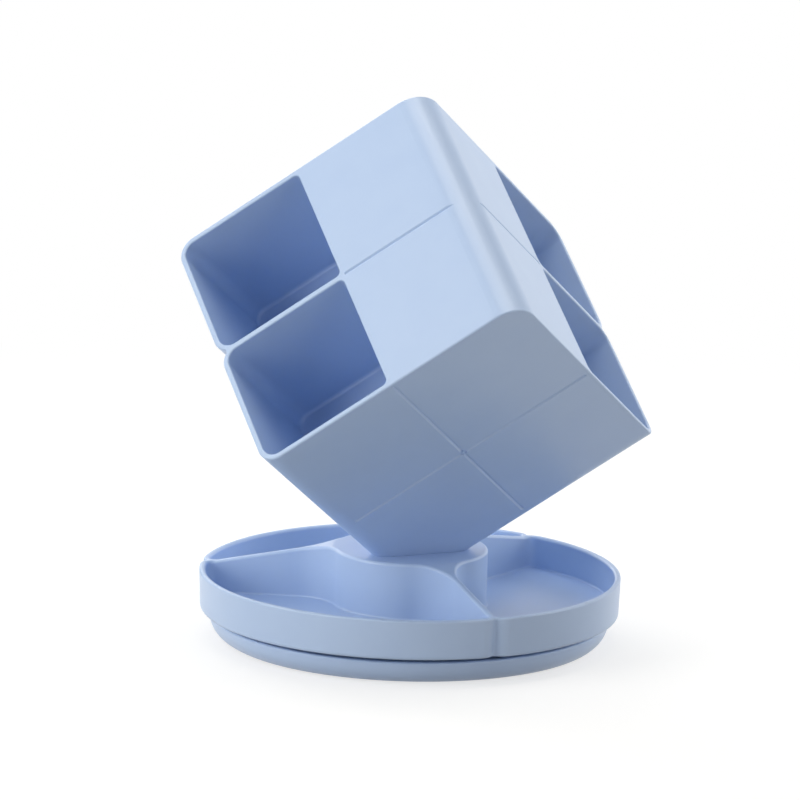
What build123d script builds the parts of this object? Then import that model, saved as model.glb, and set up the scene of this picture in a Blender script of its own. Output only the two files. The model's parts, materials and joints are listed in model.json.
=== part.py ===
from build123d import *
from math import atan, cos, degrees, radians, sin
import os

# Rotating pen holder: a cube of six pockets stands on one cut corner, on the hub of a tray
# of three compartments, and tray and cube turn together on a saucer with a ring of balls.
# Millimetres, Z up, origin on the desk under the turning axis, the cube's front spine facing -Y.

# Heights of the main pieces
foot_height = 1.0
base_height = 7.8
running_gap = 1.6
tray_wall_height = 14.1
hub_rise = 8.5

# Cube moulding
cube_edge = 105.4
cube_wall = 2.0
cube_web = 2.2
corner_cut = 30.9
spine_radius = 10.5
pocket_corner_radius = 5.0
pocket_inner_radius = 2.0
pocket_floor_radius = 1.5
rim_round = 0.7
mouth_round = 0.6
notch_root_radius = 1.0
groove_width = 1.5
groove_depth = 0.5
groove_slope = 50
groove_margin = 1.6
gate_radius = 1.3
gate_depth = 0.6
gate_nub_radius = 0.6
gate_nub_round = 0.3
foot_plate = 3.0
boss_radius = 3.2
boss_height = 3.5
boss_ring_radius = 12.5

# Tray moulding
tray_radius = 75.0
tray_wall = 2.2
tray_draft = 0.5
tray_floor = 2.4
tray_lower_round = 1.2
tray_rim_round = 0.7
partition = 2.4
lobe_corner_radius = 3.2
lobe_root_radius = 1.4
compartment_floor_radius = 0.8
compartment_mouth_round = 1.1
hub_radius = 27.5
hub_wall = 2.2
hub_plate = 2.6
hub_fillet = 17.0
hub_shoulder_radius = 6.0
rim_blend = 3.0
rim_blend_radius = 8.0
hub_hollow_round = 2.0
hub_rib = 1.8
hub_rib_height = 14.0

# Base moulding
tray_overhang = 4.0
base_undercut = 4.3
base_rim_round = 0.8
base_wall = 2.4
base_wall_lean = 3.6
base_floor = 2.2
track_width = 10.0
track_drop = 1.9
pad_radius = 14.0
sleeve_wall = 3.0
sleeve_height = 6.8
web_thickness = 2.0
recess_depth = 2.6
recess_radius = 8.5
base_rib = 1.6
base_rib_height = 2.0
base_rib_count = 6

# Ball ring
ball_radius = 3.0
ball_count = 12
ball_ring_radius = 45.0
ball_drop = 2.3
ball_clearance = 0.15
cage_width = 9.0
cage_thickness = 2.8
cage_lift = 0.3

# Pivot and fasteners
pivot_radius = 5.0
pivot_clearance = 0.05
pivot_play = 0.1
bush_wall = 1.4
bush_flange = 1.2
bush_flange_width = 2.5
washer_radius = 8.0
washer_thickness = 1.0
pivot_shank_radius = 1.45
pivot_shank_length = 12.0
pivot_head_radius = 3.0
pivot_head_height = 1.3
cube_shank_radius = 1.45
cube_shank_length = 7.5
cube_head_radius = 2.8
cube_head_height = 1.8
screw_clearance = 0.05
through_clearance = 0.3
pilot_extra = 1.0
head_round = 0.6
slot_width = 0.8
slot_depth = 0.6

# Foot pads
pad_count = 4
foot_pad_radius = 6.0
foot_pad_thickness = 2.0
foot_pad_margin = 4.7
pad_azimuth = 45
foot_pad_clearance = 0.05
foot_pad_round = 0.5

# Cutters reach this far past what they cut
overrun = 2.0

# Three edges of the cube fall away from its top corner, a third of a turn apart
edge_count = 3
third_turn = 360 / edge_count
spine_azimuth = -90
drop_share = (1 / 3) ** 0.5
reach_share = (2 / 3) ** 0.5

base_bottom = foot_height
base_top = base_bottom + base_height
tray_bottom = base_top + running_gap
rim_level = tray_bottom + tray_wall_height
hub_top = rim_level + hub_rise
floor_level = tray_bottom + tray_floor
half = cube_edge / 2


def edge_direction(azimuth):
    angle = radians(azimuth)
    return Vector(reach_share * cos(angle), reach_share * sin(angle), -drop_share)


to_front = edge_direction(spine_azimuth)
to_left = edge_direction(spine_azimuth - third_turn)
to_right = edge_direction(spine_azimuth + third_turn)
top_corner = Vector(0, 0, hub_top + cube_edge / drop_share - corner_cut * drop_share)

# Faces of the cube, each as a plane from the top corner that looks into the cube
back_face = Plane(top_corner, x_dir=to_left, z_dir=to_front)
left_face = Plane(top_corner, x_dir=to_front, z_dir=to_right)
right_face = Plane(top_corner, x_dir=to_right, z_dir=to_left)
front_face = back_face.offset(cube_edge)
mirror_plane = Plane.YZ
front_axis = Axis(top_corner, to_front)
left_axis = Axis(top_corner, to_left)
right_axis = Axis(top_corner, to_right)

# Square tubes round the pockets
tube_radius = pocket_corner_radius + cube_wall
pocket_depth = half - cube_web / 2
pocket_width = pocket_depth - cube_wall
pocket_near = cube_wall + pocket_width / 2
pocket_far = cube_edge - pocket_near
tube_width = pocket_width + cube_wall * 2

# Shallow grooves that carry the lines between the cells over the closed faces
side_groove_start = spine_radius / 2
side_groove_length = half - side_groove_start
side_groove_middle = side_groove_start + side_groove_length / 2
front_groove_length = cube_edge - tube_radius - groove_margin
front_groove_middle = groove_margin + front_groove_length / 2

# The foot's screw bosses stand under the three corners of the cut
boss_azimuth = spine_azimuth + third_turn * 1.5

# Side pockets, two on the left face and their mirror images on the right face
with BuildPart() as side_pockets:
    with BuildSketch(left_face) as side_pocket_plan:
        with Locations((pocket_near, pocket_far), (pocket_far, pocket_far)):
            Rectangle(pocket_width, pocket_width)
        fillet(side_pocket_plan.vertices().group_by(Axis.Y)[-1], pocket_corner_radius)
        fillet(side_pocket_plan.vertices().group_by(Axis.Y)[0], pocket_inner_radius)
    extrude(amount=pocket_depth)
    fillet(side_pockets.faces().group_by(right_axis)[-1].edges(), pocket_floor_radius)
    mirror(about=mirror_plane)

# Deep pen pocket behind the front spine, open at the back face
with BuildPart() as spine_pocket:
    with BuildSketch(back_face) as spine_pocket_plan:
        with Locations((pocket_near, pocket_near)):
            Rectangle(pocket_width, pocket_width)
        spine_corner = spine_pocket_plan.vertices().sort_by_distance((0, 0))[0]
        fillet(spine_corner, spine_radius - cube_wall)
        inner_corners = spine_pocket_plan.vertices().sort_by_distance((half, half))[:3]
        fillet(inner_corners, pocket_inner_radius)
    extrude(amount=cube_edge - cube_wall)
    fillet(spine_pocket.faces().sort_by(front_axis)[-1].edges(), pocket_floor_radius)

# Deep pen pocket above the foot, its lower end closed by the level foot plate
with BuildPart() as foot_pocket:
    with BuildSketch(back_face) as foot_pocket_plan:
        with Locations((pocket_far, pocket_far)):
            Rectangle(pocket_width, pocket_width)
        outer_corner = foot_pocket_plan.vertices().sort_by_distance((cube_edge, cube_edge))[0]
        fillet(outer_corner, pocket_corner_radius)
        inner_corner = foot_pocket_plan.vertices().sort_by_distance((half, half))[0]
        fillet(inner_corner, pocket_inner_radius)
    extrude(amount=cube_edge - cube_wall)
    foot_end_edges = foot_pocket.faces().sort_by(front_axis)[-1].edges()
    fillet(foot_end_edges.sort_by(Axis.Z)[:3], pocket_corner_radius)
    split(bisect_by=Plane.XY.offset(hub_top + foot_plate), keep=Keep.TOP)

# What lies outside the left face's rounded tubes: a corner at the back and the notch between them
with BuildPart() as tube_trim:
    with BuildSketch(left_face.offset(-overrun)) as tube_ends:
        with Locations((-overrun, cube_edge - tube_radius)):
            Rectangle(overrun + pocket_far, tube_radius + overrun, align=Align.MIN)
        with Locations((tube_width / 2, cube_edge), (cube_edge - tube_width / 2, cube_edge)):
            tube_end_align = (Align.CENTER, Align.MAX)
            RectangleRounded(tube_width, tube_width, tube_radius, align=tube_end_align, mode=Mode.SUBTRACT)
        fillet(tube_ends.vertices().sort_by_distance((half, cube_edge))[0], notch_root_radius)
    extrude(amount=pocket_depth + overrun)

# Cube moulding
with BuildPart() as cube_body:
    with BuildSketch(back_face) as cube_plan:
        Rectangle(cube_edge, cube_edge, align=Align.MIN)
        fillet(cube_plan.vertices().sort_by_distance((0, 0))[0], spine_radius)
        fillet(cube_plan.vertices().sort_by_distance((cube_edge, cube_edge))[0], tube_radius)
    extrude(amount=cube_edge)
    split(bisect_by=Plane.XY.offset(hub_top), keep=Keep.TOP)
    front_edges = cube_body.faces().sort_by(front_axis)[-1].edges()
    lower_left_edge = front_edges.filter_by(right_axis).sort_by(left_axis)[-1]
    lower_right_edge = front_edges.filter_by(left_axis).sort_by(right_axis)[-1]
    fillet([lower_left_edge, lower_right_edge], tube_radius)
    add(tube_trim.part, mode=Mode.SUBTRACT)
    mirror(tube_trim.part, about=mirror_plane, mode=Mode.SUBTRACT)
    rim_edge = cube_body.edges().filter_by(left_axis).sort_by_distance(top_corner)[0]
    fillet(rim_edge, rim_round)
    back_edges = cube_body.faces().sort_by(front_axis)[0].edges()
    back_left_edge = back_edges.filter_by(right_axis).sort_by(left_axis)[-1]
    fillet(back_left_edge, rim_round)
    add(side_pockets.part, mode=Mode.SUBTRACT)
    add(spine_pocket.part, mode=Mode.SUBTRACT)
    add(foot_pocket.part, mode=Mode.SUBTRACT)
    for depth_axis in (left_axis, right_axis, front_axis):
        mouths = cube_body.faces().sort_by(depth_axis)[0].inner_wires()
        fillet([edge for mouth in mouths for edge in mouth.edges()], mouth_round)
    with BuildSketch(left_face):
        with Locations((half, side_groove_middle)):
            SlotOverall(side_groove_length, groove_width, rotation=90)
    extrude(amount=groove_depth, taper=groove_slope, mode=Mode.SUBTRACT)
    with BuildSketch(right_face):
        with Locations((side_groove_middle, half)):
            SlotOverall(side_groove_length, groove_width)
    extrude(amount=groove_depth, taper=groove_slope, mode=Mode.SUBTRACT)
    with BuildSketch(front_face):
        with Locations((half, front_groove_middle)):
            SlotOverall(front_groove_length, groove_width, rotation=90)
        with Locations((front_groove_middle, half)):
            SlotOverall(front_groove_length, groove_width)
    extrude(amount=-groove_depth, taper=groove_slope, mode=Mode.SUBTRACT)
    with BuildSketch(front_face):
        with Locations((half, half)):
            Circle(gate_radius)
    extrude(amount=-gate_depth, mode=Mode.SUBTRACT)
    with BuildSketch(front_face.offset(-gate_depth)):
        with Locations((half, half)):
            Circle(gate_nub_radius)
    extrude(amount=gate_depth)
    gate_middle = front_face.from_local_coords((half, half))
    gate_edges = cube_body.edges().filter_by(GeomType.CIRCLE).sort_by_distance(gate_middle)
    fillet(gate_edges[0], gate_nub_round)
    with BuildSketch(Plane.XY.offset(hub_top)):
        with PolarLocations(boss_ring_radius, edge_count, start_angle=boss_azimuth):
            Circle(boss_radius)
    extrude(amount=foot_plate + boss_height)
    with BuildSketch(Plane.XY.offset(hub_top)):
        with PolarLocations(boss_ring_radius, edge_count, start_angle=boss_azimuth):
            Circle(cube_shank_radius + screw_clearance)
    extrude(amount=cube_shank_length - hub_plate + pilot_extra, mode=Mode.SUBTRACT)

# One of the tray's three lobes, which overlap under the partitions
lobe_azimuth = spine_azimuth + third_turn / 2
lobe_lap = tray_wall - partition / 2
lobe_radius = tray_radius - tray_draft
with BuildSketch() as lobe:
    Circle(lobe_radius)
    for side, beyond in ((1, Align.MIN), (-1, Align.MAX)):
        with Locations(Location((0, 0), side * third_turn / 2)):
            with Locations((0, side * lobe_lap)):
                half_plane = (Align.CENTER, beyond)
                Rectangle(lobe_radius * 2, lobe_radius * 2, align=half_plane, mode=Mode.SUBTRACT)
    fillet(lobe.vertices().group_by(Axis.X)[-1], lobe_corner_radius + tray_wall)

# Hollow of one compartment, between the hub, two partitions and the outer wall
with BuildPart() as compartment:
    with BuildSketch(Plane.XY.offset(floor_level)) as compartment_plan:
        Circle(tray_radius - tray_wall)
        Circle(hub_radius, mode=Mode.SUBTRACT)
        for side, beyond in ((1, Align.MIN), (-1, Align.MAX)):
            with Locations(Location((0, 0), side * third_turn / 2)):
                with Locations((0, -side * partition / 2)):
                    half_plane = (Align.CENTER, beyond)
                    Rectangle(tray_radius * 2, tray_radius * 2, align=half_plane, mode=Mode.SUBTRACT)
        fillet(compartment_plan.vertices().group_by(Axis.X)[-1], lobe_corner_radius)
        fillet(compartment_plan.vertices().group_by(Axis.X)[0], hub_fillet)
    extrude(amount=hub_top - floor_level + overrun)
    fillet(compartment.faces().sort_by(Axis.Z)[0].edges(), compartment_floor_radius)

# Ball ring levels
base_floor_top = base_bottom + base_floor
ball_level = tray_bottom - ball_drop
track_top = ball_level - track_drop
groove_radius = ball_radius + ball_clearance

# Pivot levels
web_bottom = base_bottom + recess_depth
web_top = web_bottom + web_thickness
sleeve_top = web_top + sleeve_height
pivot_bottom = web_bottom - pivot_play
bush_radius = pivot_radius + pivot_clearance + bush_wall
hub_ceiling = hub_top - hub_plate
hub_hollow_radius = hub_radius - hub_wall

# Tray moulding
with BuildPart() as tray:
    with BuildSketch(Plane.XY.offset(tray_bottom)) as outline:
        with PolarLocations(0, edge_count, start_angle=lobe_azimuth):
            add(lobe.sketch)
        fillet(outline.vertices().sort_by_distance((0, 0))[:edge_count], lobe_root_radius)
    wall_slope = degrees(atan(tray_draft / tray_wall_height))
    extrude(amount=tray_wall_height, taper=-wall_slope)
    fillet(tray.faces().sort_by(Axis.Z)[0].edges(), tray_lower_round)
    fillet(tray.faces().sort_by(Axis.Z)[-1].edges(), tray_rim_round)
    with BuildSketch(Plane.XZ) as crown:
        with BuildLine():
            blend_start = tray_radius - tray_wall - rim_blend
            crown_radius = blend_start + rim_blend / 2
            Polyline((0, floor_level), (crown_radius, floor_level), (crown_radius, rim_level))
            Polyline((crown_radius, rim_level), (blend_start, rim_level), (hub_radius, hub_top))
            Polyline((hub_radius, hub_top), (0, hub_top), (0, floor_level))
        make_face()
        fillet(crown.vertices().sort_by_distance((hub_radius, hub_top))[0], hub_shoulder_radius)
        fillet(crown.vertices().sort_by_distance((blend_start, rim_level))[0], rim_blend_radius)
    revolve(axis=Axis.Z)
    with PolarLocations(0, edge_count, start_angle=lobe_azimuth):
        add(compartment.part, mode=Mode.SUBTRACT)
    hub_walls = tray.faces().filter_by(GeomType.CYLINDER).filter_by(lambda wall: wall.radius == hub_radius)
    fillet(ShapeList(wall.edges().sort_by(Axis.Z)[-1] for wall in hub_walls), compartment_mouth_round)
    with BuildSketch(Plane.XY.offset(tray_bottom)):
        Circle(hub_hollow_radius)
    extrude(amount=hub_ceiling - tray_bottom, mode=Mode.SUBTRACT)
    fillet(tray.edges().filter_by(GeomType.CIRCLE).sort_by_distance((0, 0, hub_ceiling))[0], hub_hollow_round)
    with BuildSketch(Plane.XY.offset(hub_ceiling)):
        Circle(pivot_radius)
    extrude(amount=pivot_bottom - hub_ceiling)
    with BuildSketch(Plane.XY.offset(hub_ceiling)):
        with PolarLocations(hub_hollow_radius / 2, edge_count, start_angle=spine_azimuth):
            Rectangle(hub_hollow_radius + hub_wall, hub_rib)
    extrude(amount=-hub_rib_height)
    with BuildSketch(Plane.XY.offset(pivot_bottom)):
        Circle(pivot_shank_radius + screw_clearance)
    extrude(amount=pivot_shank_length - washer_thickness + pilot_extra, mode=Mode.SUBTRACT)
    with BuildSketch(Plane.XY.offset(hub_ceiling)):
        with PolarLocations(boss_ring_radius, edge_count, start_angle=boss_azimuth):
            Circle(cube_shank_radius + through_clearance)
    extrude(amount=hub_plate, mode=Mode.SUBTRACT)
    with BuildSketch(Plane.XZ):
        with Locations((ball_ring_radius, ball_level)):
            Circle(groove_radius)
    revolve(axis=Axis.Z, mode=Mode.SUBTRACT)

# Base radii, from the tray's inwards
base_radius = tray_radius - tray_overhang
base_foot_radius = base_radius - base_undercut
base_floor_radius = base_radius - base_wall - base_wall_lean
foot_pad_ring_radius = base_foot_radius - foot_pad_radius - foot_pad_margin

# Base saucer, with the balls' lower track, the sleeve for the bush and recesses for the feet
with BuildPart() as base_plate:
    with BuildSketch(Plane.XZ):
        with BuildLine():
            side_top = base_top - base_rim_round
            rim_inner = base_radius - base_wall
            Polyline((0, base_floor_top), (0, base_bottom), (base_foot_radius, base_bottom))
            TangentArc((base_radius, side_top), (base_foot_radius, base_bottom), tangent=(0, -1))
            TangentArc((base_radius, side_top), (base_radius - base_rim_round, base_top), tangent=(0, 1))
            Line((base_radius - base_rim_round, base_top), (rim_inner, base_top))
            Polyline((rim_inner, base_top), (base_floor_radius, base_floor_top), (0, base_floor_top))
        make_face()
    revolve(axis=Axis.Z)
    with BuildSketch(Plane.XY.offset(base_floor_top)):
        Circle(ball_ring_radius + track_width / 2)
        Circle(ball_ring_radius - track_width / 2, mode=Mode.SUBTRACT)
    extrude(amount=track_top - base_floor_top)
    with BuildSketch(Plane.XY.offset(base_bottom)):
        Circle(pad_radius)
    extrude(amount=web_top - base_bottom)
    with BuildSketch(Plane.XY.offset(web_top)):
        Circle(bush_radius + sleeve_wall)
    extrude(amount=sleeve_height)
    with BuildSketch(Plane.XY.offset(base_floor_top)):
        rib_start = pad_radius - base_rib
        with PolarLocations((rib_start + ball_ring_radius) / 2, base_rib_count):
            Rectangle(ball_ring_radius - rib_start, base_rib)
    extrude(amount=base_rib_height)
    with BuildSketch(Plane.XY.offset(base_bottom)):
        Circle(recess_radius)
    extrude(amount=recess_depth, mode=Mode.SUBTRACT)
    with BuildSketch(Plane.XY.offset(web_bottom)):
        Circle(pivot_radius + through_clearance)
    extrude(amount=web_thickness, mode=Mode.SUBTRACT)
    with BuildSketch(Plane.XY.offset(web_top)):
        Circle(bush_radius)
    extrude(amount=sleeve_height, mode=Mode.SUBTRACT)
    with BuildSketch(Plane.XY.offset(base_bottom)):
        with PolarLocations(foot_pad_ring_radius, pad_count, start_angle=pad_azimuth):
            Circle(foot_pad_radius + foot_pad_clearance)
    extrude(amount=foot_pad_thickness - foot_height, mode=Mode.SUBTRACT)
    with BuildSketch(Plane.XZ):
        with Locations((ball_ring_radius, ball_level)):
            Circle(groove_radius)
    revolve(axis=Axis.Z, mode=Mode.SUBTRACT)

# Flanged bush, pressed into the sleeve and running on the tray's pivot
with BuildPart() as pivot_bush:
    with BuildSketch(Plane.XY.offset(web_top)):
        Circle(bush_radius)
    extrude(amount=sleeve_height)
    with BuildSketch(Plane.XY.offset(sleeve_top)):
        Circle(bush_radius + bush_flange_width)
    extrude(amount=bush_flange)
    with BuildSketch(Plane.XY.offset(web_top)):
        Circle(pivot_radius + pivot_clearance)
    extrude(amount=sleeve_height + bush_flange, mode=Mode.SUBTRACT)

# Cage that spaces the balls
with BuildPart() as ball_cage:
    with BuildSketch(Plane.XY.offset(track_top + cage_lift)):
        Circle(ball_ring_radius + cage_width / 2)
        Circle(ball_ring_radius - cage_width / 2, mode=Mode.SUBTRACT)
        with PolarLocations(ball_ring_radius, ball_count):
            Circle(groove_radius, mode=Mode.SUBTRACT)
    extrude(amount=cage_thickness)

# Washer under the pivot's end, held by the pivot screw
washer_bottom = pivot_bottom - washer_thickness
with BuildPart() as pivot_washer:
    with BuildSketch(Plane.XY.offset(washer_bottom)):
        Circle(washer_radius)
        Circle(pivot_shank_radius + through_clearance, mode=Mode.SUBTRACT)
    extrude(amount=washer_thickness)


def pan_screw(seat, head_radius, head_height, shank_radius, shank_length):
    with BuildPart() as screw:
        with BuildSketch(seat):
            Circle(head_radius)
        extrude(amount=-head_height)
        fillet(screw.faces().sort_by(Axis.Z)[0].edges(), head_round)
        with BuildSketch(seat.offset(-head_height)):
            Rectangle(head_radius, slot_width)
            Rectangle(slot_width, head_radius)
        extrude(amount=slot_depth, mode=Mode.SUBTRACT)
        with BuildSketch(seat):
            Circle(shank_radius)
        extrude(amount=shank_length)
        chamfer(screw.faces().sort_by(Axis.Z)[-1].edges(), shank_radius / 2)
    return screw.part


os.makedirs("parts", exist_ok=True)

cube_body.part.label = "cube_body"
export_step(cube_body.part, "parts/cube_body.step")

tray.part.label = "tray"
export_step(tray.part, "parts/tray.step")

base_plate.part.label = "base_plate"
export_step(base_plate.part, "parts/base_plate.step")

pivot_bush.part.label = "pivot_bush"
export_step(pivot_bush.part, "parts/pivot_bush.step")

ball_cage.part.label = "ball_cage"
export_step(ball_cage.part, "parts/ball_cage.step")

pivot_washer.part.label = "pivot_washer"
export_step(pivot_washer.part, "parts/pivot_washer.step")

# Screws, all driven upwards from below
pivot_seat = Plane.XY.offset(washer_bottom)
pivot_screw = pan_screw(
    pivot_seat, pivot_head_radius, pivot_head_height, pivot_shank_radius, pivot_shank_length
)
pivot_screw.label = "pivot_screw"
export_step(pivot_screw, "parts/pivot_screw.step")

boss_places = PolarLocations(boss_ring_radius, edge_count, start_angle=boss_azimuth)
for number, place in enumerate(boss_places, start=1):
    screw_seat = Plane(place).offset(hub_ceiling)
    cube_screw = pan_screw(
        screw_seat, cube_head_radius, cube_head_height, cube_shank_radius, cube_shank_length
    )
    cube_screw.label = f"cube_screw_{number}"
    export_step(cube_screw, f"parts/cube_screw_{number}.step")

# Balls between the two tracks
for number, place in enumerate(PolarLocations(ball_ring_radius, ball_count), start=1):
    with BuildPart(Plane(place).offset(ball_level)) as ball:
        Sphere(ball_radius)
    ball.part.label = f"bearing_ball_{number:02d}"
    export_step(ball.part, f"parts/bearing_ball_{number:02d}.step")

# Soft pads under the base
pad_places = PolarLocations(foot_pad_ring_radius, pad_count, start_angle=pad_azimuth)
for number, place in enumerate(pad_places, start=1):
    with BuildPart() as foot_pad:
        with BuildSketch(Plane(place)):
            Circle(foot_pad_radius)
        extrude(amount=foot_pad_thickness)
        fillet(foot_pad.faces().sort_by(Axis.Z)[0].edges(), foot_pad_round)
    foot_pad.part.label = f"foot_pad_{number}"
    export_step(foot_pad.part, f"parts/foot_pad_{number}.step")
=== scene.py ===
import json
from math import cos, radians, sin

import bpy
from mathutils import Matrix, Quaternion, Vector

# Rotating pen holder in satin light-blue plastic, on a white floor. Metres, in the frame of the solids.

# Camera, as in the photograph
VIEW_AZIMUTH = -23.818
VIEW_ELEVATION = 11.639
VIEW_ROLL = 1.412
VIEW_DISTANCE = 1.7872
VIEW_TARGET = Vector((-0.00463, 0.00204, 0.0860))
LENS_MM = 227.6
SENSOR_MM = 36.0

# Colours, linear
BLUE = (0.45, 0.59, 0.85)
BLUE_PALE = (0.465, 0.605, 0.86)
NYLON = (0.80, 0.78, 0.70)
NYLON_PALE = (0.84, 0.82, 0.75)
STEEL = (0.62, 0.62, 0.64)
STEEL_DARK = (0.55, 0.55, 0.58)
SILICONE = (0.66, 0.69, 0.74)
SILICONE_PALE = (0.70, 0.73, 0.77)
WHITE = (1.0, 1.0, 1.0)

# Sizes of the surface detail, and the strength of its relief
GRAIN = 0.00025
MOTTLE = 0.012
SCRATCH = 0.0004
RELIEF = 0.5

# The span that most of a noise's values lie in
NOISE_LOW = 0.3
NOISE_HIGH = 0.7

# Floor
FLOOR_SIZE = 12.0
FLOOR_ALBEDO = 0.5
FLOOR_SEEN_ALBEDO = 0.4
FLOOR_GLOW = 0.68
SHADOW_REACH = 0.22
SHADOW_END = 0.55

# World light
AMBIENT = 0.01

# Softboxes: name, azimuth, elevation and radiant power
LAMP_DISTANCE = 1.3
LAMP_SIDE = 0.8
LAMP_TINT = (1.0, 0.98, 0.93)
LIGHTS = (
    ("left", -84, 10, 9.8),
    ("left_high", -90, 35, 3.3),
    ("front_left", -65, 42, 0.6),
    ("front", 20, 8, 3.2),
    ("right_front", 72, 12, 2.2),
    ("right", 108, 10, 9.0),
    ("right_high", 90, 70, 2.1),
    ("back", 180, 14, 2.3),
    ("back_high", 180, 65, 4.0),
    ("back_left", -165, 30, 3.4),
    ("top", 0, 88, 3.6),
)
# Lamps left out of reflections, which they would clip to white at a grazing view
MATTE_ONLY = ("left", "right", "back_left")

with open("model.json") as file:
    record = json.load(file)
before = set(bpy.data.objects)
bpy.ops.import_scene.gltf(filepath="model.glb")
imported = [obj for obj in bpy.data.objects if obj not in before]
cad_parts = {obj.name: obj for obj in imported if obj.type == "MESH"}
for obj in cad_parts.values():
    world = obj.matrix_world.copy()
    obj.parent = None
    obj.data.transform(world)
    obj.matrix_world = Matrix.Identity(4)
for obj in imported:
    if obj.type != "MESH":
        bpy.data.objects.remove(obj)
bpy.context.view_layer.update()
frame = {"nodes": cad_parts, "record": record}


def direction(azimuth, elevation):
    a = radians(azimuth)
    e = radians(elevation)
    return Vector((sin(a) * cos(e), -cos(a) * cos(e), sin(e)))


class Graph:
    """A material's or the world's nodes, with short calls to add and link them."""

    def __init__(self, tree):
        self.tree = tree
        tree.nodes.clear()

    def add(self, kind, **settings):
        node = self.tree.nodes.new(kind)
        for name, value in settings.items():
            setattr(node, name, value)
        return node

    def link(self, source, target):
        self.tree.links.new(source, target)

    def noise(self, size, detail=2.0):
        """Noise whose features have about that size, in the object's own metres."""
        place = self.add("ShaderNodeTexCoord")
        texture = self.add("ShaderNodeTexNoise")
        texture.inputs["Scale"].default_value = 1 / size
        texture.inputs["Detail"].default_value = detail
        self.link(place.outputs["Object"], texture.inputs["Vector"])
        return texture.outputs["Fac"]

    def between(self, factor, low, high):
        """A value that runs from low to high as the factor runs over the noise's usual span."""
        span = self.add("ShaderNodeMapRange")
        span.inputs["From Min"].default_value = NOISE_LOW
        span.inputs["From Max"].default_value = NOISE_HIGH
        span.inputs["To Min"].default_value = low
        span.inputs["To Max"].default_value = high
        self.link(factor, span.inputs["Value"])
        return span.outputs["Result"]

    def colours(self, factor, first, second):
        ramp = self.add("ShaderNodeValToRGB")
        ramp.color_ramp.elements[0].position = NOISE_LOW
        ramp.color_ramp.elements[1].position = NOISE_HIGH
        ramp.color_ramp.elements[0].color = (*first, 1)
        ramp.color_ramp.elements[1].color = (*second, 1)
        self.link(factor, ramp.inputs["Fac"])
        return ramp.outputs["Color"]

    def bump(self, height, depth, strength):
        relief = self.add("ShaderNodeBump")
        relief.inputs["Distance"].default_value = depth
        relief.inputs["Strength"].default_value = strength
        self.link(height, relief.inputs["Height"])
        return relief.outputs["Normal"]


def surface(name, colours, roughness, grain_depth, metallic=0.0, grain=GRAIN, specular=0.5):
    """A material with mottled colour, uneven gloss and a fine grain."""
    material = bpy.data.materials.new(name)
    material.use_nodes = True
    graph = Graph(material.node_tree)
    output = graph.add("ShaderNodeOutputMaterial")
    shader = graph.add("ShaderNodeBsdfPrincipled")
    shader.inputs["Metallic"].default_value = metallic
    shader.inputs["Specular IOR Level"].default_value = specular
    mottle = graph.noise(MOTTLE)
    fine = graph.noise(grain)
    graph.link(graph.colours(mottle, *colours), shader.inputs["Base Color"])
    graph.link(graph.between(fine, *roughness), shader.inputs["Roughness"])
    graph.link(graph.bump(fine, grain_depth, RELIEF), shader.inputs["Normal"])
    graph.link(shader.outputs["BSDF"], output.inputs["Surface"])
    return material


def dress(names, material):
    for name in names:
        mesh = frame["nodes"][name].data
        mesh.materials.clear()
        mesh.materials.append(material)


def nodes_of(slot):
    return [part["node"] for part in frame["record"]["subparts"] if part["material_slot"] == slot]


plastic = surface("blue_plastic", (BLUE, BLUE_PALE), (0.31, 0.37), 0.00002, specular=0.8)
nylon = surface("bearing_plastic", (NYLON, NYLON_PALE), (0.45, 0.55), 0.00002)
polished = surface("ball_steel", (STEEL, STEEL), (0.12, 0.18), 0.000002, metallic=1.0)
plated = surface("fastener_steel", (STEEL_DARK, STEEL), (0.28, 0.4), 0.00001, metallic=1.0, grain=SCRATCH)
silicone = surface("pad_rubber", (SILICONE, SILICONE_PALE), (0.5, 0.6), 0.00003)
dress(nodes_of("blue_plastic"), plastic)
dress(nodes_of("bearing_plastic"), nylon)
dress(nodes_of("ball_steel"), polished)
dress(nodes_of("fastener_steel"), plated)
dress(nodes_of("pad_rubber"), silicone)


def seen_directly(graph):
    """1 for what the camera, a reflection or a clear material shows, and 0 for light on its way to a
    surface."""
    path = graph.add("ShaderNodeLightPath")
    either = graph.add("ShaderNodeMath", operation="MAXIMUM")
    graph.link(path.outputs["Is Camera Ray"], either.inputs[0])
    graph.link(path.outputs["Is Glossy Ray"], either.inputs[1])
    any_of = graph.add("ShaderNodeMath", operation="MAXIMUM")
    graph.link(either.outputs["Value"], any_of.inputs[0])
    graph.link(path.outputs["Is Transmission Ray"], any_of.inputs[1])
    return any_of.outputs["Value"]


def make_world():
    world = bpy.data.worlds.new("studio")
    bpy.context.scene.world = world
    world.use_nodes = True
    graph = Graph(world.node_tree)
    output = graph.add("ShaderNodeOutputWorld")
    light = graph.add("ShaderNodeBackground")
    light.inputs["Strength"].default_value = AMBIENT
    light.inputs["Color"].default_value = (*WHITE, 1)
    white = graph.add("ShaderNodeBackground")
    white.inputs["Color"].default_value = (*WHITE, 1)
    mix = graph.add("ShaderNodeMixShader")
    graph.link(seen_directly(graph), mix.inputs["Fac"])
    graph.link(light.outputs["Background"], mix.inputs[1])
    graph.link(white.outputs["Background"], mix.inputs[2])
    graph.link(mix.outputs["Shader"], output.inputs["Surface"])


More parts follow.
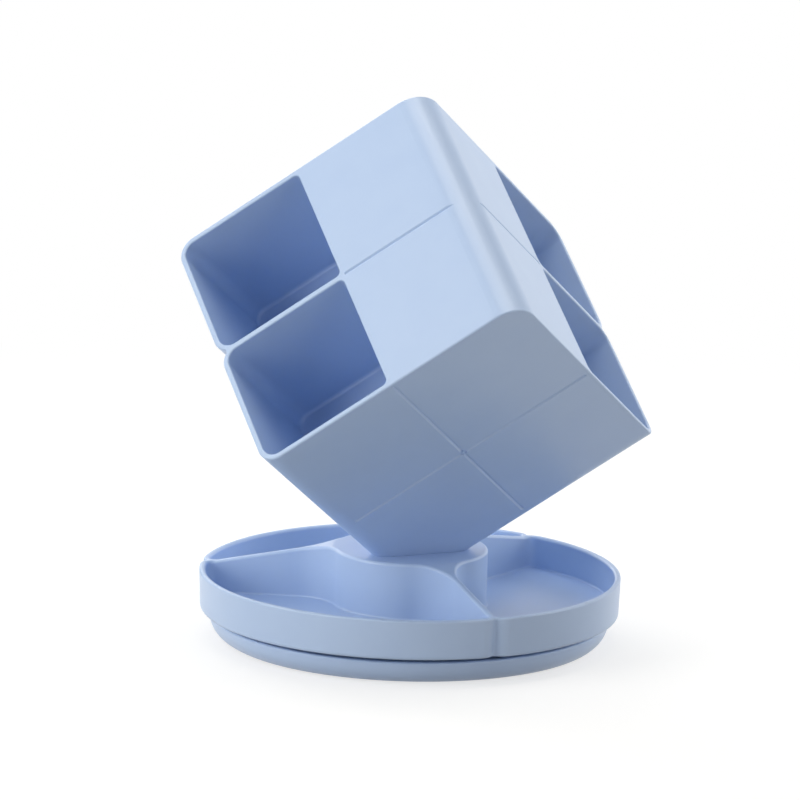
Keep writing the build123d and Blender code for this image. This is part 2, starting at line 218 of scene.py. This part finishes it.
def make_floor():
    """A white floor that glows a little where it is seen, holds the object's shadow, and turns plain white
    further off."""
    mesh = bpy.data.meshes.new("floor")
    half = FLOOR_SIZE / 2
    corners = [(-half, -half, 0), (half, -half, 0), (half, half, 0), (-half, half, 0)]
    mesh.from_pydata(corners, [], [(0, 1, 2, 3)])
    floor = bpy.data.objects.new("floor", mesh)
    bpy.context.scene.collection.objects.link(floor)
    material = bpy.data.materials.new("floor")
    material.use_nodes = True
    graph = Graph(material.node_tree)
    output = graph.add("ShaderNodeOutputMaterial")
    matte = graph.add("ShaderNodeBsdfDiffuse")
    matte.inputs["Color"].default_value = (FLOOR_ALBEDO, FLOOR_ALBEDO, FLOOR_ALBEDO, 1)
    seen_matte = graph.add("ShaderNodeBsdfDiffuse")
    seen_matte.inputs["Color"].default_value = (FLOOR_SEEN_ALBEDO, FLOOR_SEEN_ALBEDO, FLOOR_SEEN_ALBEDO, 1)
    glow = graph.add("ShaderNodeEmission")
    glow.inputs["Strength"].default_value = FLOOR_GLOW
    near = graph.add("ShaderNodeAddShader")
    graph.link(seen_matte.outputs["BSDF"], near.inputs[0])
    graph.link(glow.outputs["Emission"], near.inputs[1])
    plain = graph.add("ShaderNodeEmission")
    place = graph.add("ShaderNodeTexCoord")
    reach = graph.add("ShaderNodeVectorMath", operation="LENGTH")
    graph.link(place.outputs["Object"], reach.inputs[0])
    fade = graph.add("ShaderNodeMapRange", interpolation_type="SMOOTHSTEP")
    fade.inputs["From Min"].default_value = SHADOW_REACH
    fade.inputs["From Max"].default_value = SHADOW_END
    graph.link(reach.outputs["Value"], fade.inputs["Value"])
    shown = graph.add("ShaderNodeMixShader")
    graph.link(fade.outputs["Result"], shown.inputs["Fac"])
    graph.link(near.outputs["Shader"], shown.inputs[1])
    graph.link(plain.outputs["Emission"], shown.inputs[2])
    mix = graph.add("ShaderNodeMixShader")
    graph.link(seen_directly(graph), mix.inputs["Fac"])
    graph.link(matte.outputs["BSDF"], mix.inputs[1])
    graph.link(shown.outputs["Shader"], mix.inputs[2])
    graph.link(mix.outputs["Shader"], output.inputs["Surface"])
    mesh.materials.append(material)


def make_lights():
    for name, azimuth, elevation, power in LIGHTS:
        lamp = bpy.data.lights.new(name, "AREA")
        lamp.size = LAMP_SIDE
        lamp.energy = power
        lamp.color = LAMP_TINT
        box = bpy.data.objects.new(name, lamp)
        towards = direction(azimuth, elevation)
        box.location = VIEW_TARGET + towards * LAMP_DISTANCE
        box.rotation_euler = (-towards).to_track_quat("-Z", "Y").to_euler()
        box.visible_camera = False
        box.visible_glossy = name not in MATTE_ONLY
        bpy.context.scene.collection.objects.link(box)


def make_camera():
    lens = bpy.data.cameras.new("camera")
    lens.lens = LENS_MM
    lens.sensor_width = SENSOR_MM
    camera = bpy.data.objects.new("camera", lens)
    towards = direction(VIEW_AZIMUTH, VIEW_ELEVATION)
    camera.location = VIEW_TARGET + towards * VIEW_DISTANCE
    camera.rotation_mode = "QUATERNION"
    level = (-towards).to_track_quat("-Z", "Y")
    camera.rotation_quaternion = level @ Quaternion((0, 0, 1), radians(VIEW_ROLL))
    bpy.context.scene.collection.objects.link(camera)
    bpy.context.scene.camera = camera


make_world()
make_floor()
make_lights()
make_camera()
bpy.context.scene.view_settings.view_transform = "Standard"
